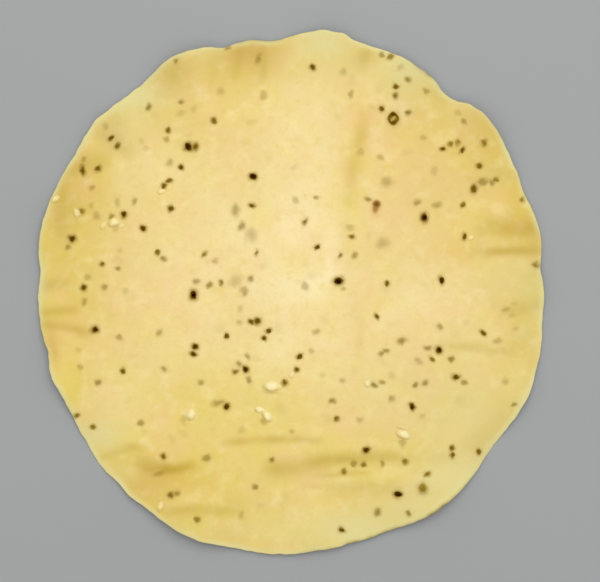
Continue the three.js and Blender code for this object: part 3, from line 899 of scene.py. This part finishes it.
def colour_dough(piece, x, y):
    """Gives each point of a piece of dough its shares of the dough's colours."""
    out = np.minimum(share_out(x, y), 1)
    to_edge = (1 - out) * MEAN_RADIUS
    gold = GOLD_LEVEL - patches(CREAM_PATCHES, x, y) + patches(GOLDEN_PATCHES, x, y)
    gold += RIM_GOLD * out**RIM_GOLD_POWER
    pale_rim = PALE_RIM_STRENGTH * (1 + smooth_noise(x, y, PALE_RIM_UNEVENNESS))
    pale = patches(PALE_PATCHES, x, y) + pale_rim * np.exp(-((to_edge / PALE_RIM_WIDTH) ** 2))
    # Painted shade along stretches of the very edge, added to the spice's darkening
    edge_shade = bells(SHADED_EDGES, bearing_of(x, y)) * (1 + smooth_noise(x, y, SHADED_EDGE_UNEVENNESS))
    olive = patches(OLIVE_PATCHES, x, y) + edge_shade * np.exp(-((to_edge / SHADED_EDGE_WIDTH) ** 2))
    set_attribute(piece, "gold", np.clip(gold, 0, GOLD_LIMIT))
    set_attribute(piece, "rose", np.clip(patches(ROSE_PATCHES, x, y), 0, 1))
    set_attribute(piece, "straw", np.clip(patches(STRAW_PATCHES, x, y), 0, 1))
    set_attribute(piece, "tan", np.clip(patches(TAN_PATCHES, x, y), 0, 1))
    set_attribute(piece, "crease", crease_colour_and_shade(x, y))
    set_attribute(piece, "pale", np.clip(pale, 0, 1))
    set_attribute(piece, "smudge", np.clip(smudges(x, y) + olive, 0, 1))


def add_bake_map(piece):
    """Lays both faces flat beside each other on the texture square, the rim round the upper one."""
    REACH = 0.28
    UPPER = np.array([0.29, 0.29])
    UNDER = np.array([0.71, 0.71])
    ROOM = 6
    mesh = piece.data
    corners = np.empty(len(mesh.loops), np.int64)
    mesh.loops.foreach_get("vertex_index", corners)
    points = np.empty(3 * len(mesh.vertices))
    mesh.vertices.foreach_get("co", points)
    flat = points.reshape(-1, 3)[:, :2] / MM / (MEAN_RADIUS + ROOM) * REACH
    face_corners = 3 * RING_STEP * RINGS**2
    per_corner = flat[corners]
    per_corner[:face_corners] += UPPER
    per_corner[face_corners: 2 * face_corners] += UNDER
    per_corner[2 * face_corners:] += UPPER
    layer = mesh.uv_layers.new(name="OFBake")
    layer.data.foreach_set("uv", per_corner.astype(np.float32).ravel())


def dough_sheet(offset, points, faces):
    piece = make_object("papadum_sheet", points + offset, faces, dough_material("dough"))
    colour_dough(piece, points[:, 0], points[:, 1])
    add_bake_map(piece)
    put_on_papadum(piece)


def mounds(name, offset, spots, material):
    """Low mounds of dough laid over the sheet, by the middle, half-lengths, turn and rise of each. Gives back
    the piece, and how far out and how far to the shaded side of its own mound each point is, in shares."""
    INSIDE = 0.995
    LIT_BEARING = 60
    degrees, shares = rings_of_points(MOUND_RINGS)
    flat_x = shares * np.cos(np.radians(degrees))
    flat_y = shares * np.sin(np.radians(degrees)) * (1 - MOUND_EGG * flat_x)
    rim = np.arange(first_in_ring(MOUND_RINGS), len(shares))
    foot = np.stack([np.roll(rim, -1), rim, np.full(len(rim), len(shares))], axis=1)
    template_faces = np.concatenate([ring_triangles(MOUND_RINGS), foot])
    points = []
    faces = []
    shadiness = []
    for count, ((middle_x, middle_y), (half_length, half_width), turn, rise) in enumerate(spots):
        cosine, sine = math.cos(math.radians(turn)), math.sin(math.radians(turn))
        x = middle_x + half_length * flat_x * cosine - half_width * flat_y * sine
        y = middle_y + half_length * flat_x * sine + half_width * flat_y * cosine
        held = np.minimum(1, INSIDE / share_out(x, y))
        x, y = x * held, y * held
        middle = sheet_height(x, y)
        lift = (rise + MOUND_DIP) * (1 - shares**2) ** MOUND_STEEPNESS - MOUND_DIP
        top = np.stack([x, y, middle + sheet_thickness(x, y) / 2 + lift], axis=1)
        points += [top, [[x[0], y[0], middle[0]]]]
        faces.append(template_faces + count * (len(shares) + 1))
        lit = math.radians(LIT_BEARING - turn)
        shadiness.append(np.append(-flat_x * math.cos(lit) - flat_y * math.sin(lit), 0))
    points = np.concatenate(points)
    piece = make_object(name, points + offset, np.concatenate(faces).tolist(), material)
    colour_dough(piece, points[:, 0], points[:, 1])
    put_on_papadum(piece)
    return piece, np.tile(np.append(shares, 1), len(spots)), np.concatenate(shadiness)


def spice_and_shade_mounds(offset):
    """The dough that the spice darkens, over or round each grain, and that painted shade darkens beside pale
    seeds.
    """
    spots = []
    for middle, (half_length, half_width), turn, _ in smudge_spots():
        spots.append((middle, (MOUND_REACH * half_length, MOUND_REACH * half_width), turn, MOUND_RISE))
    mounds("brown_spice", offset, spots, dough_material("spiced_dough"))


def pale_seeds(offset):
    """Pale seeds under a skin of dough, with a ring round each seed that is partly browner dough and partly
    painted shade, most on the side away from the light.
    """
    SKIN = 1.55
    SEED_SHARE = 0.62
    SEED_LIGHT_LEAN = 0.12
    EDGE_POWER = 3
    SHADE_AT = 0.72
    SHADE_REACH = 0.25
    SHADE_ALL_ROUND = 0.32
    SEED_UNEVENNESS = (0.9, 0.3, 20)
    FULL_WIDTH = 3
    spots = []
    for at, turn, length, width, _ in PALE_SEEDS:
        stand = PALE_STAND * min(1, width / FULL_WIDTH)
        spots.append((at, (SKIN * length / 2, SKIN * width / 2), turn, stand))
    piece, shares, shadiness = mounds("pale_seeds", offset, spots, seed_material())
    clearness = np.repeat([clear for *_, clear in PALE_SEEDS], len(shares) // len(spots))
    shares = shares * (1 + smooth_noise(*flat_places(piece), SEED_UNEVENNESS))
    # The pale core is moved towards the lit side, as painted light.
    from_lit = np.sqrt(np.maximum(shares**2 + 2 * SEED_LIGHT_LEAN * shadiness + SEED_LIGHT_LEAN**2, 0))
    tone = np.exp(-((from_lit / SEED_SHARE) ** EDGE_POWER))
    # The ring round each seed's foot is partly browner dough and partly painted shade, strongest on the side
    # away from the light.
    on_side = SHADE_ALL_ROUND + (1 - SHADE_ALL_ROUND) * shadiness
    shade = np.exp(-(((shares - SHADE_AT) / SHADE_REACH) ** 2)) * on_side
    set_attribute(piece, "tone", clearness * tone)
    set_attribute(piece, "shade", np.clip(clearness * shade * (shares < 1), 0, 1))


def chilli_flakes(offset):
    """Chilli flakes, which stain the dough round them."""
    STAIN = 1.9
    EDGE_POWER = 1.5
    spots = []
    for at, turn, length, width, _ in CHILLI_FLAKES:
        spots.append((at, (STAIN * length / 2, STAIN * width / 2), turn, CHILLI_STAND))
    piece = mounds("chilli_flakes", offset, spots, chilli_material())[0]
    x, y = flat_places(piece)
    x, y = x - offset[0], y - offset[1]
    tone = np.zeros_like(x)
    for at, turn, length, width, strength in CHILLI_FLAKES:
        apart = spot_distance(x, y, at, (length / 2, width / 2), turn)
        tone = np.maximum(tone, strength * np.exp(-(apart**EDGE_POWER)))
    set_attribute(piece, "tone", tone)


# Spice

def ball_template():
    """A fine ball of radius one as points and triangles."""
    made = bmesh.new()
    bmesh.ops.create_icosphere(made, subdivisions=3, radius=1)
    points = np.array([vertex.co[:] for vertex in made.verts])
    faces = np.array([[vertex.index for vertex in face.verts] for face in made.faces])
    made.free()
    return points, faces


def husk_template():
    """A flat lobed ring of outer radius one with a slit through it, as points and quads."""
    AROUND = 40
    THROUGH = 14
    LOBES = 4
    LOBE_RISE = 0.045
    around = np.linspace(0, 2 * np.pi, AROUND, endpoint=False)[:, None]
    through = np.linspace(0, 2 * np.pi, THROUGH, endpoint=False)[None, :]
    along, across, slit_turn = HUSK_SLIT
    slit_angle = around - math.radians(slit_turn)
    inner = along * across / np.hypot(across * np.cos(slit_angle), along * np.sin(slit_angle))
    outer = 1 + LOBE_RISE * np.cos(LOBES * around)
    radius = (outer + inner) / 2 + (outer - inner) / 2 * np.cos(through)
    height = np.sin(through) * np.ones_like(around)
    points = np.stack([radius * np.cos(around), radius * np.sin(around), height], axis=-1).reshape(-1, 3)
    index = np.arange(AROUND * THROUGH).reshape(AROUND, THROUGH)
    turned = np.roll(index, -1, axis=0)
    faces = np.stack([index, turned, np.roll(turned, -1, axis=1), np.roll(index, -1, axis=1)], axis=-1)
    return points, faces.reshape(-1, 4)


def roughened(points, random, amount):
    """The template dented and bulged by a few seeded waves, as a broken grain is."""
    WAVES = 7
    STEEPNESS = 2.2
    scale = np.ones(len(points))
    for _ in range(WAVES):
        direction = STEEPNESS * random.normal(size=3)
        scale += amount / WAVES * 2 * np.sin(points @ direction + random.uniform(0, 2 * np.pi))
    return points * scale[:, None]


def seated(points, at, size, turn, sink, side=1):
    """The template at its size and turn, on the upper face, or on the under face where side is -1."""
    length, width, stand = size
    angle = math.radians(turn)
    cosine, sine = math.cos(angle), math.sin(angle)
    spin = np.array([[cosine, -sine, 0], [sine, cosine, 0], [0, 0, 1]])
    turned = (points * (length / 2, width / 2, stand)) @ spin.T
    x, y = np.array([at[0]], float), np.array([at[1]], float)
    normal = sheet_normals(x, y)[0]
    tangent = np.cross([0, 1, 0], normal)
    tangent /= np.linalg.norm(tangent)
    basis = np.stack([tangent, np.cross(normal, tangent), normal])
    foot = np.array([at[0], at[1], (sheet_height(x, y) + side * sheet_thickness(x, y) / 2)[0]])
    return turned @ basis + foot - normal * side * sink * stand


def height_share(points, side=1):
    """How high on its grain each point of a template is: 1 at the top, 0 at the foot and below."""
    TOP = 0.95
    FOOT = 0.25
    return np.clip((side * points[:, 2] - FOOT) / (TOP - FOOT), 0, 1)


class Heap:
    """Many small pieces of one kind, joined into one mesh, each point with its own tone."""

    def __init__(self):
        self.points = []
        self.faces = []
        self.tones = []
        self.count = 0

    def add(self, points, faces, tones):
        self.points.append(points)
        self.faces += (faces + self.count).tolist()
        self.tones.append(tones)
        self.count += len(points)

    def make(self, name, offset, material):
        piece = make_object(name, np.concatenate(self.points) + offset, self.faces, material)
        set_attribute(piece, "tone", np.concatenate(self.tones))
        put_on_papadum(piece)


def resized(size, random):
    factor = 1 + UNDER_PEPPER_SPREAD * random.uniform(-1, 1)
    return tuple(factor * length for length in size)


def pepper(offset):
    """Large and smaller pepper, pepper that shows underneath, and the empty husk."""
    ROUGHNESS = 0.3
    SOFT_EDGE = 0.22
    SINK = 0.2
    UNDER_SINK = 0.25
    UNDER_TONES = (0.5, 0.9)
    HUSK_ROUGHNESS = 0.1
    HUSK_SOFT_EDGE = 0.42
    HUSK_TONE = 0.81
    HUSK_END_RISE = 0.06
    HUSK_TIP_RISE = 0.03
    random = np.random.default_rng(PEPPER_SEED)
    points, faces = ball_template()
    heap = Heap()

    def add_grain(at, size, turn, tone, sink=SINK, side=1):
        shape = roughened(points, random, ROUGHNESS)
        tones = tone * (1 - SOFT_EDGE * (1 - height_share(points, side)))
        heap.add(seated(shape, at, size, turn, sink, side), faces, tones)

    for x, y, length, width, turn, dark in LARGE_PEPPER:
        add_grain((x, y), (GRAIN_SHARE * length, GRAIN_SHARE * width, LARGE_STAND), turn, dark)
    small_spots = smudge_spots()[len(LARGE_PEPPER):][:len(DARK_PEPPER)]
    for at, (half_length, half_width), turn, dark in small_spots:
        add_grain(at, (2 * GRAIN_SHARE * half_length, 2 * GRAIN_SHARE * half_width, DARK_STAND), turn, dark)
    for at in scatter(UNDER_PEPPER_COUNT, random):
        size = resized(UNDER_PEPPER_SIZE, random)
        add_grain(at, size, random.uniform(0, 360), random.uniform(*UNDER_TONES), UNDER_SINK, side=-1)
    at, length, width, turn = HUSK_RING
    ring, ring_faces = husk_template()
    shape = roughened(ring, random, HUSK_ROUGHNESS)
    ends = np.cos(2 * np.arctan2(ring[:, 1], ring[:, 0]))
    tones = HUSK_TONE + HUSK_END_RISE * ends + HUSK_TIP_RISE * ring[:, 0]
    tones *= 1 - HUSK_SOFT_EDGE * (1 - height_share(ring))
    heap.add(seated(shape, at, (length, width, HUSK_STAND), turn, SINK), ring_faces, tones)
    heap.make("pepper", offset, pepper_material())


# Floor, light and camera

def make_floor():
    HALF = 6000
    corners = [(-HALF, -HALF, 0), (HALF, -HALF, 0), (HALF, HALF, 0), (-HALF, HALF, 0)]
    floor = make_object("floor", corners, [(0, 1, 2, 3)], floor_material())


def area_light(name, bearing, elevation, distance, size, power):
    """A soft square light aimed at the disc, its place given as seen from the disc, in metres and degrees."""
    light = bpy.data.lights.new(name, "AREA")
    light.size = size
    light.energy = power
    made = bpy.data.objects.new(name, light)
    flat = distance * math.cos(math.radians(elevation))
    angle = math.radians(bearing)
    height = distance * math.sin(math.radians(elevation))
    made.location = (flat * math.cos(angle), flat * math.sin(angle), height)
    made.rotation_euler = made.location.to_track_quat("Z", "Y").to_euler()
    bpy.context.scene.collection.objects.link(made)


def make_light():
    WHITE = (1, 1, 1, 1)
    BACKDROP_STRENGTH = 0.5
    area_light("key", bearing=78, elevation=58, distance=1.3, size=1.2, power=10)
    area_light("fill", bearing=255, elevation=60, distance=1.5, size=1.4, power=4.25)
    world = bpy.data.worlds.new("studio")
    world.use_nodes = True
    backdrop = world.node_tree.nodes["Background"]
    backdrop.inputs["Color"].default_value = WHITE
    backdrop.inputs["Strength"].default_value = BACKDROP_STRENGTH
    bpy.context.scene.world = world
    bpy.context.scene.view_settings.view_transform = "Standard"


def make_camera():
    """Straight above, with the disc where the photograph's frame has it."""
    FRAME_WIDTH = 208.2
    VIEW_MIDDLE = (3.2, 0.58)
    LENS = 100
    camera = bpy.data.cameras.new("camera")
    camera.lens = LENS
    made = bpy.data.objects.new("camera", camera)
    distance = LENS / camera.sensor_width * FRAME_WIDTH
    made.location = (VIEW_MIDDLE[0] * MM, VIEW_MIDDLE[1] * MM, distance * MM)
    bpy.context.scene.collection.objects.link(made)
    bpy.context.scene.camera = made


def build():
    points, faces = sheet_arrays()
    low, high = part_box(CAD_NODE)
    middle = (points.min(axis=0) + points.max(axis=0)) / 2
    offset = np.array([(low.x + high.x) / 2 / MM - middle[0], (low.y + high.y) / 2 / MM - middle[1],
                       low.z / MM - points[:, 2].min()])
    dough_sheet(offset, points, faces)
    spice_and_shade_mounds(offset)
    pepper(offset)
    pale_seeds(offset)
    chilli_flakes(offset)
    make_floor()
    make_light()
    make_camera()


build()
